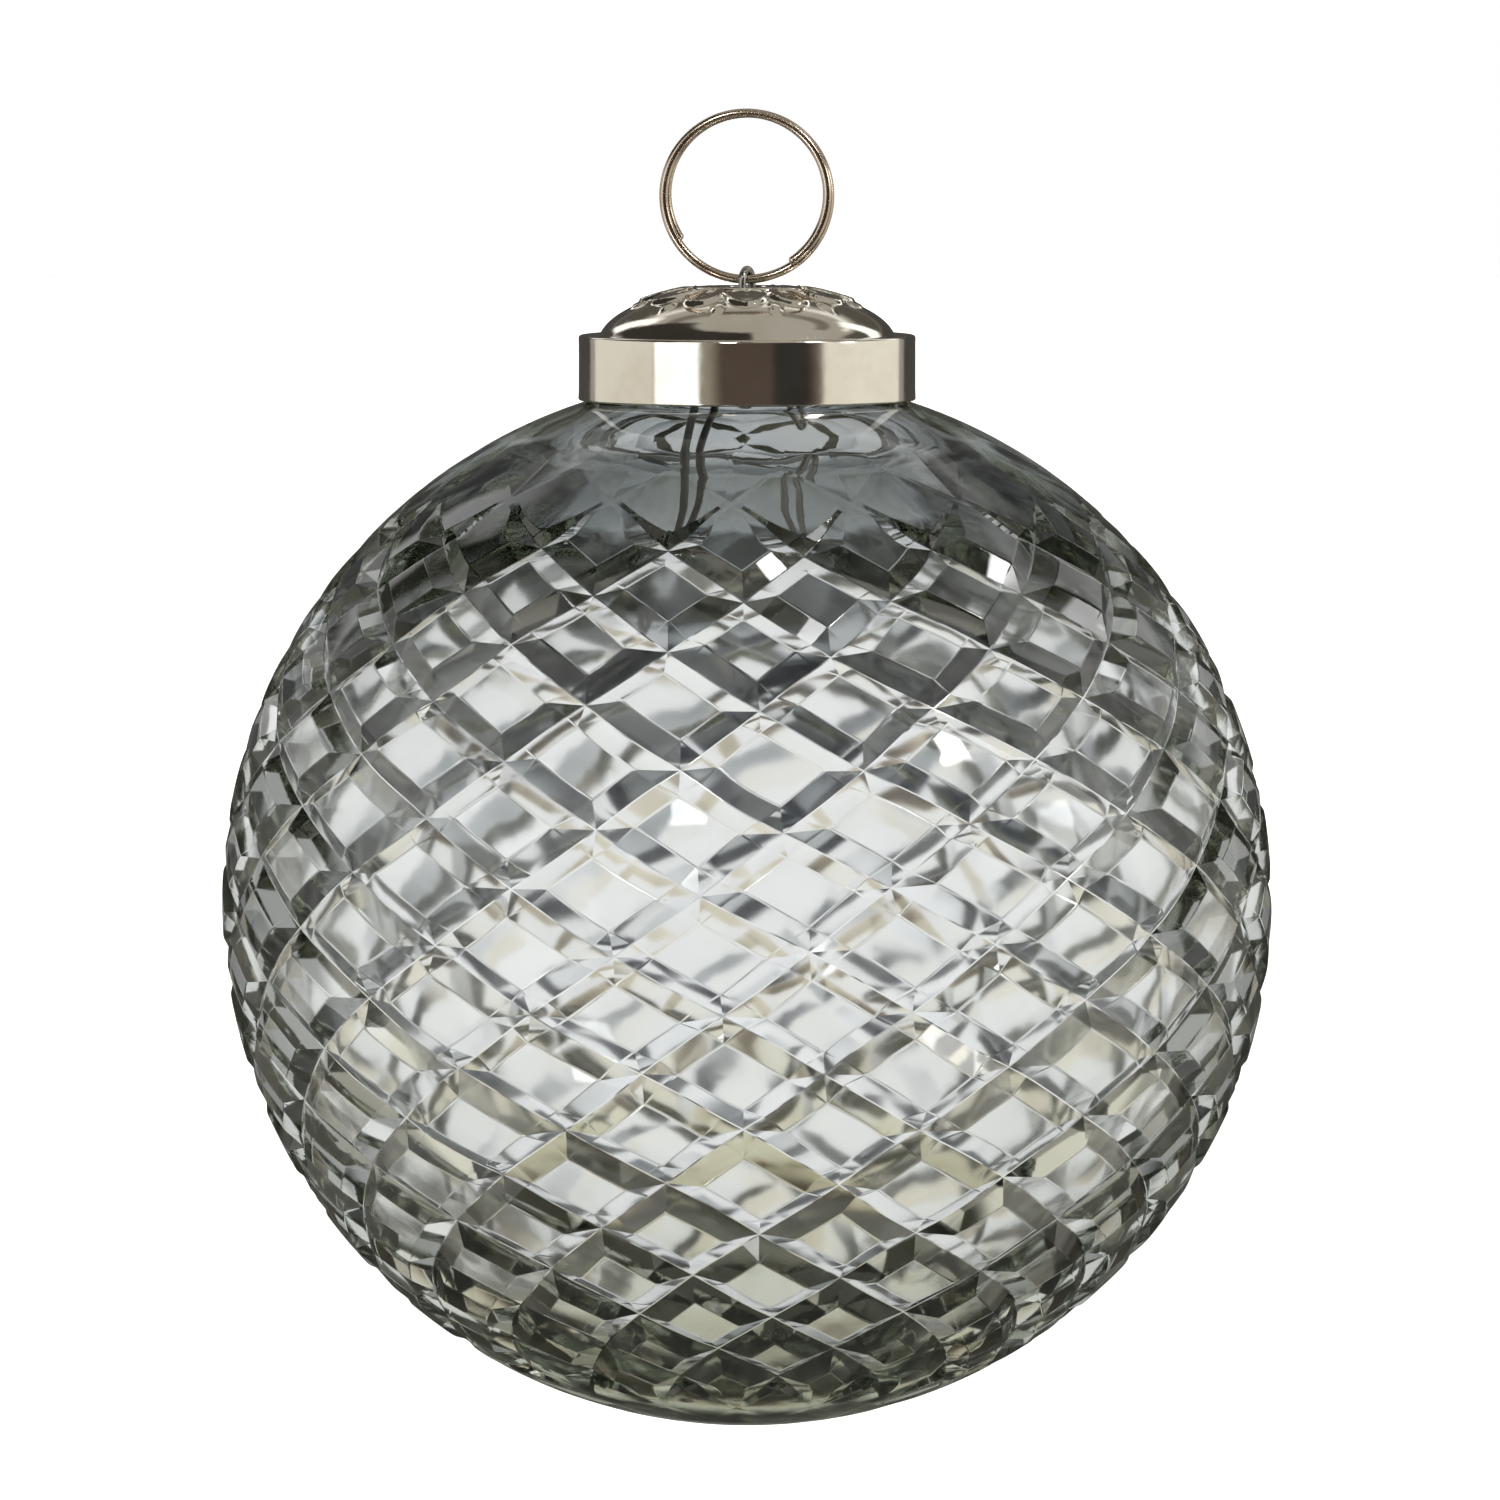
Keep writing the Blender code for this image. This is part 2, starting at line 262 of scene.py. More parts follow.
def cut_band(surface):
    """The band of cut diamonds. Returns its upper and lower edge rings."""
    number = {}
    keys = []

    def at(p, q):
        around = GROOVES * STEPS
        if p >= around:
            p, q = p - around, q + around
        if (p, q) not in number:
            number[(p, q)] = len(keys)
            keys.append((p, q))
        return number[(p, q)]

    faces = []
    upper = []
    lower = []
    first_row, last_row = -EXTRA_ROWS, CUT_ROWS - 2 + EXTRA_ROWS
    for i in range(GROOVES):
        for row in range(first_row, last_row + 1):
            j = row - i
            for k in range(STEPS):
                for l in range(STEPS):
                    p, q = i * STEPS + k, j * STEPS + l
                    a, b, c, d = at(p, q), at(p, q + 1), at(p + 1, q + 1), at(p + 1, q)
                    if k == l:
                        faces += [[a, b, c], [a, c, d]]
                    elif k + l == STEPS - 1:
                        faces += [[a, b, d], [b, c, d]]
                    else:
                        faces.append([a, b, c, d])
        p, q = i * STEPS, (first_row - i) * STEPS
        upper += [at(p, q + l) for l in range(STEPS, 0, -1)]
        upper += [at(p + k, q) for k in range(STEPS)]
        q = (last_row - i) * STEPS
        lower += [at(p + k, q + STEPS) for k in range(STEPS)]
        lower += [at(p + STEPS, q + l) for l in range(STEPS, 0, -1)]
    grid = np.array(keys)
    points, azimuth = lattice_points(grid[:, 0], grid[:, 1])
    base = len(surface.points)
    surface.add(points)
    surface.faces += [[base + corner for corner in face] for face in faces]
    upper = [base + index for index in upper]
    lower = [base + index for index in lower]
    return upper, lower


def azimuths_of(surface, ring):
    """The ring's azimuths in degrees, rising all the way round."""
    points = np.array([surface.points[index] for index in ring])
    angles = np.degrees(np.arctan2(points[:, 0], -points[:, 1]))
    return np.degrees(np.unwrap(np.radians(angles)))


def ring_points(azimuth, radius, height):
    turned = np.radians(azimuth)
    return np.stack(
        [radius * np.sin(turned), -radius * np.cos(turned), np.full(len(turned), 1.0) * height], axis=-1
    )


def even(azimuth):
    count = len(azimuth)
    steps = np.arange(count) * 360 / count
    return np.mean(azimuth - steps) + steps


def smooth(low, high, value):
    """Rises gently from 0 at low to 1 at high."""
    share = min(1, max(0, (value - low) / (high - low)))
    return share * share * (3 - 2 * share)


def inside_points(azimuth, latitude):
    """The wavy inside, calmer and thicker-walled towards the shoulder."""
    direction = directions_of(azimuth, np.full(len(azimuth), latitude))
    calm = min(1, max(0, (72.5 - latitude) / 9))
    bulge = 0.25 * noise_at(direction, 1.6, 11) + 0.17 * noise_at(direction, 4.6, 12)
    bulge = bulge * (1 - 0.85 * smooth(38, 56, latitude))
    thick = 2.4 * smooth(25, 62, latitude)
    radius = INSIDE_RADIUS + calm * (bulge - thick) * MM
    return direction * radius[:, None] + np.array([0, 0, INSIDE_RISE])


def make_glass(material):
    surface = Surface()
    upper, lower = cut_band(surface)
    ring, own = upper, azimuths_of(surface, upper)
    uniform = even(own)
    for step, latitude in enumerate(UPPER_LATITUDES):
        share = min(1, (step + 1) / 5)
        azimuth = own + (uniform - own) * share
        after = surface.add(directions_of(azimuth, np.full(len(azimuth), latitude)) * BALL_RADIUS)
        surface.bridge(ring, after)
        ring = after
    foot_reach = NECK_RADIUS + NECK_FILLET
    foot_height = math.sqrt(BALL_RADIUS**2 - foot_reach**2)
    corner = (NECK_RADIUS, foot_height + 0.33 * MM)
    outline = bend((foot_reach, foot_height), corner, (NECK_RADIUS, foot_height + 1.2 * MM), 5)
    middle = (NECK_RADIUS + BORE_RADIUS) / 2
    outline += arc(middle, NECK_TOP - NECK_ROUNDING, NECK_RADIUS - middle, NECK_ROUNDING, 0, 180, 10)
    for radius, height in outline:
        after = surface.add(ring_points(uniform, radius, height))
        surface.bridge(ring, after)
        ring = after
    coarse = uniform[::2]
    mouth_reach = BORE_RADIUS + MOUTH_FILLET
    mouth = math.degrees(math.acos(mouth_reach / INSIDE_RADIUS))
    mouth_height = INSIDE_RISE + INSIDE_RADIUS * math.sin(math.radians(mouth))
    bore_foot = INSIDE_RISE + math.sqrt(INSIDE_RADIUS**2 - BORE_RADIUS**2)
    outline = [(BORE_RADIUS, 50 * MM)]
    outline += bend((BORE_RADIUS, 47.6 * MM), (BORE_RADIUS, bore_foot), (mouth_reach, mouth_height), 6)
    for radius, height in outline:
        after = surface.add(ring_points(coarse, radius, height))
        surface.bridge(ring, after)
        ring = after
    for step in range(1, INSIDE_RINGS):
        latitude = mouth + (INSIDE_END - mouth) * step / (INSIDE_RINGS - 1)
        after = surface.add(inside_points(coarse, latitude))
        surface.bridge(ring, after)
        ring = after
    tip = surface.add(inside_points(coarse[:1], -90))[0]
    surface.close(ring, tip)

    ring, own = lower, azimuths_of(surface, lower)
    uniform = even(own)
    for step, latitude in enumerate(LOWER_LATITUDES):
        share = min(1, (step + 1) / 3)
        azimuth = own + (uniform - own) * share
        if step >= 2:
            azimuth = uniform[::2] if step < 5 else uniform[::4]
        after = surface.add(directions_of(azimuth, np.full(len(azimuth), latitude)) * BALL_RADIUS)
        surface.bridge(ring, after, flip=True)
        ring = after
    tip = surface.add([(0, 0, -BALL_RADIUS)])[0]
    surface.close(ring, tip, flip=True)
    points = np.array(surface.points) + np.array(ball_centre)
    glass = new_object("cut_glass", points, surface.faces, material, 20)
    weigh_normals(glass)
    return glass


# ---------------------------------------------------------------- the stamped cap
CAP_COLUMNS = 336
PETALS = 12
BAND_ROWS = 16


def petal_height(reach, azimuth):
    """How far the embossed flower stands out of the dome."""
    petal = 360 / PETALS
    off = (azimuth + petal / 2) % petal - petal / 2
    across = np.radians(off) * reach
    along = reach - 7.9 * MM
    round_off = np.sqrt((along / (2.35 * MM)) ** 2 + (across / (2.0 * MM)) ** 2)
    rim = np.exp(-(((round_off - 0.9) / 0.11) ** 2))
    body = np.clip((1.06 - round_off) / 0.26, 0, 1)
    body = body * body * (3 - 2 * body)
    crease = np.exp(-((across / (0.28 * MM)) ** 2)) * np.clip((8.6 * MM - reach) / (1.5 * MM), 0, 1)
    off = azimuth % petal - petal / 2
    across = np.radians(off) * reach
    along = reach - 10.5 * MM
    leaf = np.clip(1.1 - np.sqrt((along / (0.95 * MM)) ** 2 + (across / (0.6 * MM)) ** 2), 0, 1)
    leaf = np.clip(leaf * 2.2, 0, 1)
    return (0.3 * body + 0.2 * rim - 0.16 * crease * body + 0.24 * leaf) * MM


def make_cap(material):
    azimuth = np.arange(CAP_COLUMNS) * 360 / CAP_COLUMNS
    ledge_angle = math.degrees(math.asin((BAND_TOP - DOME_BASE) / DOME_RISE))
    rows = [(CAP_HOLE_RADIUS, BOSS_TOP - SHEET * 0.6), (CAP_HOLE_RADIUS, BOSS_TOP - 0.12 * MM)]
    rows += [(CAP_HOLE_RADIUS + 0.12 * MM, BOSS_TOP), (3.4 * MM, BOSS_TOP)]
    rows += arc(BOSS_RADIUS - 0.3 * MM, BOSS_TOP - 0.3 * MM, 0.3 * MM, 0.3 * MM, 90, 12, 5)
    reaches = np.arange(5.35, 11.4, 0.16) * MM
    dome = []
    for reach in reaches:
        dome.append((reach, DOME_BASE + DOME_RISE * math.sqrt(1 - (reach / DOME_RADIUS) ** 2)))
    start = math.degrees(math.acos(reaches[-1] / DOME_RADIUS))
    dome += arc(0, DOME_BASE, DOME_RADIUS, DOME_RISE, start, ledge_angle, 10)[1:]
    dome_start = len(rows) - 1  # the boss's last row rises with the dome
    rows += dome
    rows += [(14.3 * MM, BAND_TOP - 0.02 * MM), (15.2 * MM, BAND_TOP + 0.02 * MM)]
    rows += arc(BAND_RADIUS - 0.28 * MM, BAND_TOP - 0.28 * MM, 0.28 * MM, 0.28 * MM, 90, 0, 5)
    for share in (0.15, 0.35, 0.55, 0.75, 0.9):
        rows.append((BAND_RADIUS - 0.02 * MM, BAND_TOP - share * (BAND_TOP - BAND_BOTTOM - 0.5 * MM)))
    rows += arc(BAND_RADIUS - 0.22 * MM, BAND_BOTTOM + 0.22 * MM, 0.24 * MM, 0.22 * MM, 0, -180, 8)
    rows += [(BAND_RADIUS - SHEET, BAND_BOTTOM + 1 * MM), (BAND_RADIUS - SHEET, BAND_TOP - SHEET)]
    under_start = math.degrees(math.acos(BOSS_RADIUS / DOME_RADIUS))
    rows += arc(0, DOME_BASE - SHEET, DOME_RADIUS - SHEET, DOME_RISE, ledge_angle, under_start, 14)
    rows += [(CAP_HOLE_RADIUS + 0.1 * MM, BOSS_TOP - SHEET)]
    surface = Surface()
    rings = []
    for index, (reach, height) in enumerate(rows):
        on_dome = dome_start <= index < dome_start + len(dome)
        directions = ring_points(azimuth, 1.0, 0.0)
        wave = noise_at(directions * np.array([1, 1, 0]) + np.array([0, 0, height / MM / 9]), 1.6, 21)
        ring_reach = np.full(CAP_COLUMNS, reach)
        ring_height = np.full(CAP_COLUMNS, height)
        if on_dome:
            lift = petal_height(ring_reach, azimuth) + 0.035 * MM * wave
            slope = np.array([reach / DOME_RADIUS**2, (height - DOME_BASE) / DOME_RISE**2])
            slope = slope / np.linalg.norm(slope)
            ring_reach = ring_reach + lift * slope[0]
            ring_height = ring_height + lift * slope[1]
        elif reach > 15.4 * MM and index < dome_start + len(dome) + BAND_ROWS:
            ring_reach = ring_reach + 0.02 * MM * wave
        rings.append(surface.add(ring_points(azimuth, ring_reach, ring_height)))
    for upper, lower in zip(rings, rings[1:] + rings[:1]):
        surface.bridge(upper, lower, flip=True)
    points = np.array(surface.points) + np.array(ball_centre)
    cap = new_object("stamped_cap", points, surface.faces, material, 42)
    weigh_normals(cap)
    return cap


# ---------------------------------------------------------------- wires
def make_wire(name, points, radius, material, sides=18):
    """A round wire through the points, with rounded ends."""
    end_turns = (60, 30)
    points = np.array([tuple(point) for point in points])
    forward = np.gradient(points, axis=0)
    forward /= np.linalg.norm(forward, axis=1)[:, None]
    up = np.cross(forward[0], np.array([0.3, 0.2, 1.0]))
    frames = []
    for direction in forward:
        up = up - direction * np.dot(up, direction)
        up /= np.linalg.norm(up)
        frames.append((up.copy(), np.cross(direction, up)))
    sections = []
    for turn in end_turns:
        back = math.cos(math.radians(90 - turn)) * radius * 0.8
        size = math.cos(math.radians(turn)) * radius
        sections.append((points[0] - forward[0] * back, frames[0], size))
    sections += [(point, frames[index], radius) for index, point in enumerate(points)]
    for turn in end_turns[::-1]:
        back = math.cos(math.radians(90 - turn)) * radius * 0.8
        size = math.cos(math.radians(turn)) * radius
        sections.append((points[-1] + forward[-1] * back, frames[-1], size))
    surface = Surface()
    rings = []
    for centre, (side, other), size in sections:
        angles = np.arange(sides) * math.tau / sides
        ring = centre + size * (np.cos(angles)[:, None] * side + np.sin(angles)[:, None] * other)
        rings.append(surface.add(ring))
    for a, b in zip(rings, rings[1:]):
        surface.bridge(a, b)
    first = surface.add([points[0] - forward[0] * radius * 0.86])[0]
    last = surface.add([points[-1] + forward[-1] * radius * 0.86])[0]
    surface.close(rings[0], first, flip=True)
    surface.close(rings[-1], last)
    return new_object(name, surface.points, surface.faces, material)


def ring_path():
    middle = (RING_START + RING_END) / 2
    points = []
    for angle in np.linspace(RING_START, RING_END, 261):
        radius = RING_RADIUS - RING_DRIFT * abs(angle - middle) / (RING_END - middle)
        side = RING_PITCH * (angle - middle) / math.tau
        points.append(ring_centre + Vector((radius * math.cos(angle), side, radius * math.sin(angle))))
    return points


def turned_path(outline, turn):
    """Points in the ornament's frame from (reach, height above the ball's centre) pairs."""
    rotation = Matrix.Rotation(turn, 3, "Z")
    return [rotation @ Vector((reach, 0, height)) + ball_centre for reach, height in outline]


def eye_path():
    centre = ring_wire_height + RING_WIRE / 2 + EYE_GAP + HANGER_WIRE / 2 - EYE_RADIUS
    end = LEG_TOP + LEG_GAP
    straight = [(EYE_RADIUS, end + (centre - end) * step / 5) for step in range(5)]
    loop = arc(0, centre, EYE_RADIUS, EYE_RADIUS, 0, 180, 24)
    mirrored = [(-reach, height) for reach, height in straight[::-1]]
    return turned_path(straight + loop + mirrored, HANGER_TURN)


def leg_path(turn):
    curve = (LEG_REACH - EYE_RADIUS - LEG_START_SLOPE * LEG_DROP) / LEG_DROP**2
    drops = np.linspace(0, LEG_DROP, 37)
    inner = [(EYE_RADIUS + LEG_START_SLOPE * drop + curve * drop**2, LEG_TOP - drop) for drop in drops]
    slope = LEG_START_SLOPE + 2 * curve * LEG_DROP
    start = math.degrees(math.atan2(-slope, -1)) + 360
    end = math.degrees(math.atan(RETURN_SLOPE)) + 360
    across = math.radians(start)
    reach, height = inner[-1]
    centre = (reach - HAIRPIN_RADIUS * math.cos(across), height - HAIRPIN_RADIUS * math.sin(across))
    bottom = arc(*centre, HAIRPIN_RADIUS, HAIRPIN_RADIUS, start, end, 18)
    knee = (RETURN_NECK_REACH, RETURN_NECK_HEIGHT)
    last = bottom[-1]
    before = tuple(a + (b - a) * 0.88 for a, b in zip(last, knee))
    after = (RETURN_NECK_REACH, RETURN_NECK_HEIGHT + 1.2 * MM)
    outer = []
    for share in np.linspace(0.12, 0.9, 7):
        outer.append(tuple(a + (b - a) * share for a, b in zip(last, before)))
    outer += bend(before, knee, after, 6)
    outer += [(RETURN_NECK_REACH, RETURN_TOP - 1 * MM), (RETURN_NECK_REACH, RETURN_TOP)]
    return turned_path(inner + bottom[1:] + outer, turn)


# ---------------------------------------------------------------- materials
OBJECT_OUTPUT = 3  # of a texture coordinate node
# Painted shade: a grey for the glass's shoulder and an olive for its base, standing in for the darkness
# that the thick glass and the dim surroundings give there.
SHOULDER_PAINTED_SHADE = (0.49, 0.515, 0.535)
BASE_PAINTED_SHADE = (0.86, 0.87, 0.77)


class Nodes:
    """Short calls that add nodes to a node tree."""

    def __init__(self, tree):
        self.tree = tree

    def add(self, kind, values=None, output=0, **settings):
        node = self.tree.nodes.new(kind)
        for name, value in settings.items():
            setattr(node, name, value)
        for key, value in (values or {}).items():
            if isinstance(value, bpy.types.NodeSocket):
                self.tree.links.new(value, node.inputs[key])
            else:
                node.inputs[key].default_value = value
        return node.outputs[output]

    def math(self, operation, a, b=0.0):
        return self.add("ShaderNodeMath", {0: a, 1: b}, operation=operation)

    def ramp(self, value, low, high, to_low=0.0, to_high=1.0, linear=False):
        if low > high:
            low, high, to_low, to_high = high, low, to_high, to_low
        kind = "LINEAR" if linear else "SMOOTHSTEP"
        values = {"Value": value, "From Min": low, "From Max": high, "To Min": to_low, "To Max": to_high}
        return self.add("ShaderNodeMapRange", values, interpolation_type=kind)

    def profile(self, share, stops):
        """Colours by elevation in degrees."""
        node = self.tree.nodes.new("ShaderNodeValToRGB")
        self.tree.links.new(share, node.inputs[0])
        stripes = node.color_ramp.elements
        while len(stripes) < len(stops):
            stripes.new(0.5)
        for stripe, (elevation, color) in zip(stripes, stops):
            stripe.position = (elevation + 90) / 180
            stripe.color = (*color, 1)
        return node.outputs[0]

    def window(self, value, low, high, soft):
        """1 between low and high, 0 outside."""
        rise = self.ramp(value, low - soft, low + soft)
        fall = self.ramp(value, high - soft, high + soft)
        return self.math("SUBTRACT", rise, fall)

    def mix(self, factor, a, b):
        node = self.tree.nodes.new("ShaderNodeMix")
        node.data_type = "RGBA"
        for key, value in ((0, factor), (6, a), (7, b)):
            if isinstance(value, bpy.types.NodeSocket):
                self.tree.links.new(value, node.inputs[key])
            elif key:
                node.inputs[key].default_value = (*value, 1)
            else:
                node.inputs[key].default_value = value
        return node.outputs[2]

    def noise(self, scale, detail=3.0, roughness=0.5, vector=None):
        values = {"Scale": scale, "Detail": detail, "Roughness": roughness}
        if vector is None:
            vector = self.add("ShaderNodeTexCoord", output=OBJECT_OUTPUT)
        values["Vector"] = vector
        return self.add("ShaderNodeTexNoise", values)


def new_material(name):
    material = bpy.data.materials.new(name)
    material.use_nodes = True
    tree = material.node_tree
    shader = tree.nodes["Principled BSDF"]
    return material, Nodes(tree), shader


def glass_material():
    """Clear glass with painted shade on the shoulder, a painted olive shade on the base and a softly
    rippled inside.
    """
    material, nodes, shader = new_material("smoky_glass_cut")
    shader.inputs["Transmission Weight"].default_value = 1
    shader.inputs["IOR"].default_value = 1.5
    fine = nodes.noise(900, 3)
    place = nodes.add("ShaderNodeTexCoord", output=OBJECT_OUTPUT)
    values = {0: place, 1: tuple(ball_centre)}
    reach = nodes.add("ShaderNodeVectorMath", values, output=1, operation="DISTANCE")
    parts = nodes.tree.nodes.new("ShaderNodeSeparateXYZ")
    nodes.tree.links.new(place, parts.inputs[0])
    height = parts.outputs[2]
    # Painted shade: a grey tint that rises towards the top darkens the shoulder, broken up by noise
    # streaks. It stands in for the dark that the thick wall and the dim surroundings give there.
    shoulder_shade_mask = nodes.ramp(height, ball_centre.z + 30 * MM, ball_centre.z + 38 * MM)
    streaks = nodes.noise(60, 3)
    shoulder_shade_mask = nodes.math("MULTIPLY", shoulder_shade_mask, nodes.ramp(streaks, 0.3, 0.7, 0.8, 1.0))
    # Painted shade: an olive tint darkens the bottom of the ball, standing in for the shadowed
    # surroundings seen through the base.
    base_shade_mask = nodes.ramp(height, ball_centre.z - 36 * MM, ball_centre.z - 44 * MM)
    shoulder_shaded_color = nodes.mix(shoulder_shade_mask, (1, 1, 1), SHOULDER_PAINTED_SHADE)
    nodes.tree.links.new(nodes.mix(base_shade_mask, shoulder_shaded_color, BASE_PAINTED_SHADE), shader.inputs["Base Color"])
    wall = nodes.ramp(reach, 47.1 * MM, 47.5 * MM)
    rough = nodes.add("ShaderNodeMapRange", {"Value": fine, 1: 0.3, 2: 0.7, 3: 0.0, 4: 0.01})
    inside = nodes.math("SUBTRACT", 1.0, wall)
    inner = nodes.math("MULTIPLY", inside, nodes.ramp(shoulder_shade_mask, 0.0, 0.7, 0.085, 0.015))
    nodes.tree.links.new(nodes.math("ADD", rough, inner), shader.inputs["Roughness"])
    slow = nodes.noise(140, 2)
    bump = nodes.add("ShaderNodeBump", {"Strength": 0.05, "Distance": 0.4 * MM, "Height": slow})
    nodes.tree.links.new(bump, shader.inputs["Normal"])
    absorbed = {"Color": (0.425, 0.465, 0.36, 1), "Density": 62}
    volume = nodes.add("ShaderNodeVolumeAbsorption", absorbed)
    output = nodes.tree.nodes["Material Output"]
    nodes.tree.links.new(volume, output.inputs["Volume"])
    return material


def metal_material(name, light, dark, rough_low, rough_high, bump_height, scale):
    """Polished or drawn metal with faint stains, uneven polish and a fine grain."""
    material, nodes, shader = new_material(name)
    shader.inputs["Metallic"].default_value = 1
    stain = nodes.noise(scale * 0.35, 4, 0.6)
    color = nodes.mix(nodes.ramp(stain, 0.35, 0.7), light, dark)
    nodes.tree.links.new(color, shader.inputs["Base Color"])
    blot = nodes.noise(scale, 5, 0.6)
    rough = nodes.ramp(blot, 0.3, 0.7, rough_low, rough_high)
    nodes.tree.links.new(rough, shader.inputs["Roughness"])
    place = nodes.add("ShaderNodeTexCoord", output=OBJECT_OUTPUT)
    stretched = nodes.add("ShaderNodeMapping", {"Vector": place, "Scale": (1, 1, 6)})
    grain = nodes.noise(scale * 4, 3, 0.5, vector=stretched)
    bump = nodes.add("ShaderNodeBump", {"Strength": 0.3, "Distance": bump_height, "Height": grain})
    nodes.tree.links.new(bump, shader.inputs["Normal"])
    return material


# ---------------------------------------------------------------- stage, light and camera
FLOOR_RADIUS = 6.0
FLOOR_DROP = 60 * MM
FLOOR_CORNERS = 96
CAMERA_OUTPUT = 0  # of a light path node
REFLECTION_OUTPUT = 5
LAMPS = ((53, 36, 24), (-14, 27, 14), (-37, -27, 10), (74, 12, 8))  # azimuth, elevation, strength
DEGREES = 57.2958
LENS = 226.4
SENSOR = 36
CAMERA_DISTANCE = 0.9
CAMERA_ABOVE = math.radians(5.4)
AIM_ABOVE = 0.1  # shares of the picture's side
AIM_ASIDE = 0.002


def make_floor():
    material, nodes, shader = new_material("pale_floor")
    shader.inputs["Base Color"].default_value = (0.86, 0.855, 0.84, 1)
    shader.inputs["Roughness"].default_value = 0.9
    shader.inputs["Emission Color"].default_value = (1, 0.995, 0.985, 1)
    shader.inputs["Emission Strength"].default_value = 0.85
    height = ball_centre.z - BALL_RADIUS - FLOOR_DROP
    points = []
    for angle in np.linspace(0, math.tau, FLOOR_CORNERS + 1)[:-1]:
        points.append((FLOOR_RADIUS * math.cos(angle), FLOOR_RADIUS * math.sin(angle), height))
    floor = new_object("floor", points, [list(range(FLOOR_CORNERS))], material)
    floor.visible_glossy = False
    floor.visible_transmission = False


class Sky:
    """Colours of the studio by direction. Azimuth 0 is the front, and angles are in degrees."""

    def __init__(self, nodes):
        self.nodes = nodes
        self.direction = nodes.add("ShaderNodeTexCoord")
        parts = nodes.tree.nodes.new("ShaderNodeSeparateXYZ")
        nodes.tree.links.new(self.direction, parts.inputs[0])
        x, y, z = parts.outputs
        turn = nodes.math("ARCTAN2", x, nodes.math("MULTIPLY", y, -1.0))
        self.azimuth = nodes.math("MULTIPLY", turn, DEGREES)
        self.elevation = nodes.math("MULTIPLY", nodes.math("ARCSINE", z), DEGREES)
        self.from_back = nodes.math("SUBTRACT", 180.0, nodes.math("ABSOLUTE", self.azimuth))

    def patch(self, color, shoulder_shaded_color, azimuths, elevations, soft=2.0, around_back=False):
        """A soft-edged panel. With around_back, azimuths count from the back to both sides."""
        value = self.from_back if around_back else self.azimuth
        across = self.nodes.window(value, *azimuths, soft)
        up = self.nodes.window(self.elevation, *elevations, soft * 1.5)
        return self.nodes.mix(self.nodes.math("MULTIPLY", across, up), color, shoulder_shaded_color)

    def seen_through_glass(self):
        """A pale card at the ball's height, dark above and below, and dimmer to the sides."""
        nodes, elevation, from_back = self.nodes, self.elevation, self.from_back
        blotches = nodes.ramp(nodes.noise(7, 3, 0.55, vector=self.direction), 0.42, 0.6)
        above = nodes.mix(blotches, (0.035, 0.04, 0.056), (0.21, 0.218, 0.225))
        card = nodes.profile(
            nodes.ramp(elevation, -90, 90, linear=True),
            [
                (-90, (0.07, 0.07, 0.05)),
                (-45, (0.03, 0.032, 0.02)),
                (-35, (0.04, 0.037, 0.024)),
                (-32, (0.15, 0.106, 0.07)),
                (-30, (0.79, 0.72, 0.58)),
                (-25, (1.05, 1.00, 0.88)),
                (-20, (1.14, 1.14, 1.17)),
                (3, (1.12, 1.13, 1.20)),
                (6, (0.62, 0.65, 0.69)),
                (8.5, (0.41, 0.44, 0.48)),
            ],
        )
        card = nodes.mix(nodes.ramp(elevation, 7.5, 11), card, above)
        card = nodes.mix(nodes.ramp(elevation, 40, 55), card, (0.28, 0.27, 0.245))
        lower = nodes.window(elevation, -52, -24, 4)
        lower = nodes.math("MULTIPLY", lower, nodes.ramp(from_back, 27, 38))
        card = nodes.mix(lower, card, (0.92, 0.89, 0.78))
        dimmed = nodes.mix(0.58, card, (0.05, 0.052, 0.045))
        return nodes.mix(nodes.window(from_back, 27, 62, 5), card, dimmed)

    def reflected(self):
        """What the metal and the outside of the glass reflect: pale walls, dark gaps and windows."""
        patch = self.patch
        ceiling = self.nodes.ramp(self.elevation, 20, 34)
        color = self.nodes.mix(ceiling, (0.34, 0.325, 0.30), (0.42, 0.40, 0.35))
        # Pale walls on the left and on the right, and a dark gap in front between them.
        color = patch(color, (0.78, 0.75, 0.67), (-128, -67), (-30, 30))
        color = patch(color, (0.90, 0.87, 0.77), (51, 128), (-30, 30))
        color = patch(color, (0.30, 0.27, 0.22), (-31, 53), (-34, 26))
        color = patch(color, (0.09, 0.068, 0.055), (-22, 51), (-34, 26), 6.0)
        color = patch(color, (0.035, 0.033, 0.03), (18, 44), (-34, 26), 3.0)
        # A window at the front left.
        color = patch(color, (1.5, 1.5, 1.46), (-66, -33), (-25, 30), 1.5)
        # Level stripes behind and above, which the dome of the cap reflects.
        color = patch(color, (0.10, 0.09, 0.075), (-1, 115), (20, 38), 1.5, around_back=True)
        color = patch(color, (0.95, 0.93, 0.88), (-1, 70), (42, 46), 1.0, around_back=True)
        color = patch(color, (0.20, 0.18, 0.155), (-1, 80), (54, 60), 1.0, around_back=True)
        # Dark panels above the left wall and the front, and two windows high at the back.
        color = patch(color, (0.04, 0.036, 0.03), (-132, -54), (22, 68), 1.5)
        color = patch(color, (0.04, 0.036, 0.03), (-62, 5), (40, 70), 1.5)
        color = patch(color, (1.4, 1.4, 1.36), (124, 140), (16, 48), 1.5)
        color = patch(color, (1.4, 1.4, 1.36), (-150, -136), (16, 48), 1.5)
        # A dark card behind, then four small lamps that glint on single facets.
        color = patch(color, (0.07, 0.065, 0.06), (-44, 44), (-60, 20), around_back=True)
        for azimuth, elevation, strength in LAMPS:
            wide = (azimuth - 5, azimuth + 5)
            high = (elevation - 6, elevation + 6)
            color = patch(color, (strength,) * 3, wide, high, 0.6)
        return color


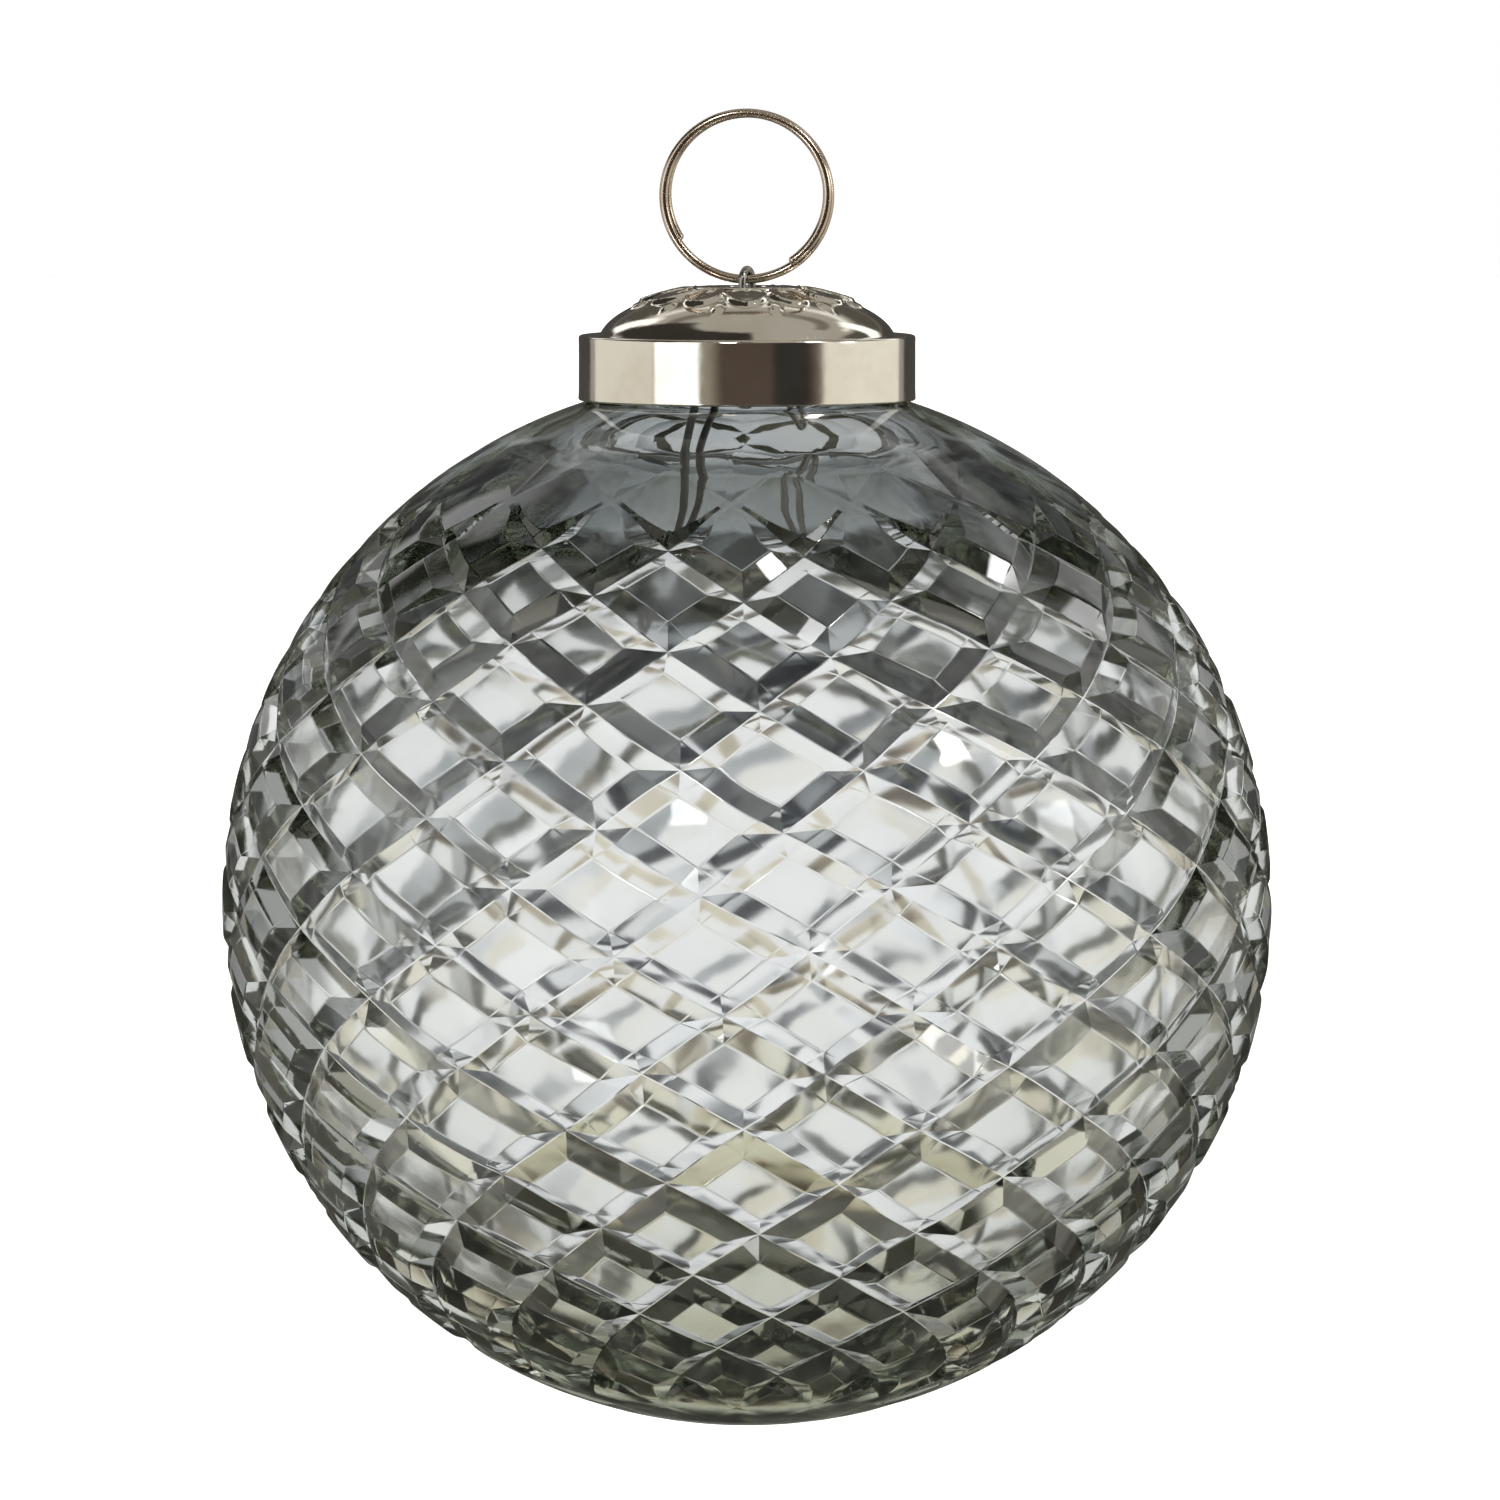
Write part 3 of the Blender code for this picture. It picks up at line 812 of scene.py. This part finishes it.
def make_world():
    world = bpy.data.worlds.new("studio")
    bpy.context.scene.world = world
    world.use_nodes = True
    nodes = Nodes(world.node_tree)
    sky = Sky(nodes)
    color = sky.seen_through_glass()
    reflection_ray = nodes.add("ShaderNodeLightPath", output=REFLECTION_OUTPUT)
    color = nodes.mix(reflection_ray, color, sky.reflected())
    camera_ray = nodes.add("ShaderNodeLightPath", output=CAMERA_OUTPUT)
    color = nodes.mix(camera_ray, color, (1.0, 1.0, 1.0))
    background = world.node_tree.nodes["Background"]
    world.node_tree.links.new(color, background.inputs["Color"])


def make_camera():
    data = bpy.data.cameras.new("camera")
    camera = bpy.data.objects.new("camera", data)
    bpy.context.scene.collection.objects.link(camera)
    data.sensor_width = SENSOR
    data.lens = LENS
    data.clip_start = 0.05
    data.clip_end = 12
    back = Vector((0, -math.cos(CAMERA_ABOVE), math.sin(CAMERA_ABOVE)))
    camera.location = ball_centre + CAMERA_DISTANCE * back
    down = CAMERA_ABOVE - math.atan(AIM_ABOVE * SENSOR / LENS)
    side = math.atan(AIM_ASIDE * SENSOR / LENS)
    camera.rotation_euler = (math.pi / 2 - down, 0, -side)
    bpy.context.scene.camera = camera


def set_look():
    scene = bpy.context.scene
    scene.view_settings.view_transform = "Standard"
    scene.view_settings.look = "None"
    scene.cycles.max_bounces = 32
    scene.cycles.transmission_bounces = 32
    scene.cycles.glossy_bounces = 12
    scene.cycles.diffuse_bounces = 3
    scene.cycles.transparent_max_bounces = 16
    scene.cycles.use_denoising = True
    scene.cycles.seed = 4


# ---------------------------------------------------------------- everything
set_look()
make_camera()
make_world()
make_floor()
glass_look = glass_material()
nickel_look = metal_material(
    "nickel_stamped", (0.83, 0.80, 0.74), (0.76, 0.72, 0.64), 0.05, 0.13, 0.01 * MM, 500
)
ring_look = metal_material(
    "ring_drawn", (0.66, 0.57, 0.47), (0.44, 0.35, 0.27), 0.16, 0.28, 0.003 * MM, 260
)
spring_look = metal_material(
    "spring_drawn", (0.34, 0.33, 0.31), (0.22, 0.21, 0.2), 0.22, 0.38, 0.004 * MM, 260
)

glass = make_glass(glass_look)
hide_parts("glass_ball")
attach(glass, "ball")

cap = make_cap(nickel_look)
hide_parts("cap_shell")
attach(cap, "cap")

ring = make_wire("coil_ring", ring_path(), RING_WIRE / 2, ring_look)
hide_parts("split_ring")
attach(ring, "ring")

eye = make_wire("wire_eye", eye_path(), HANGER_WIRE / 2, spring_look)
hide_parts("hanger_eye")
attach(eye, "hanger")

for side, turn in (("right", HANGER_TURN), ("left", HANGER_TURN + math.pi)):
    leg = make_wire("wire_leg_" + side, leg_path(turn), HANGER_WIRE / 2, spring_look)
    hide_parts("clip_leg_" + side)
    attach(leg, "leg_" + side)
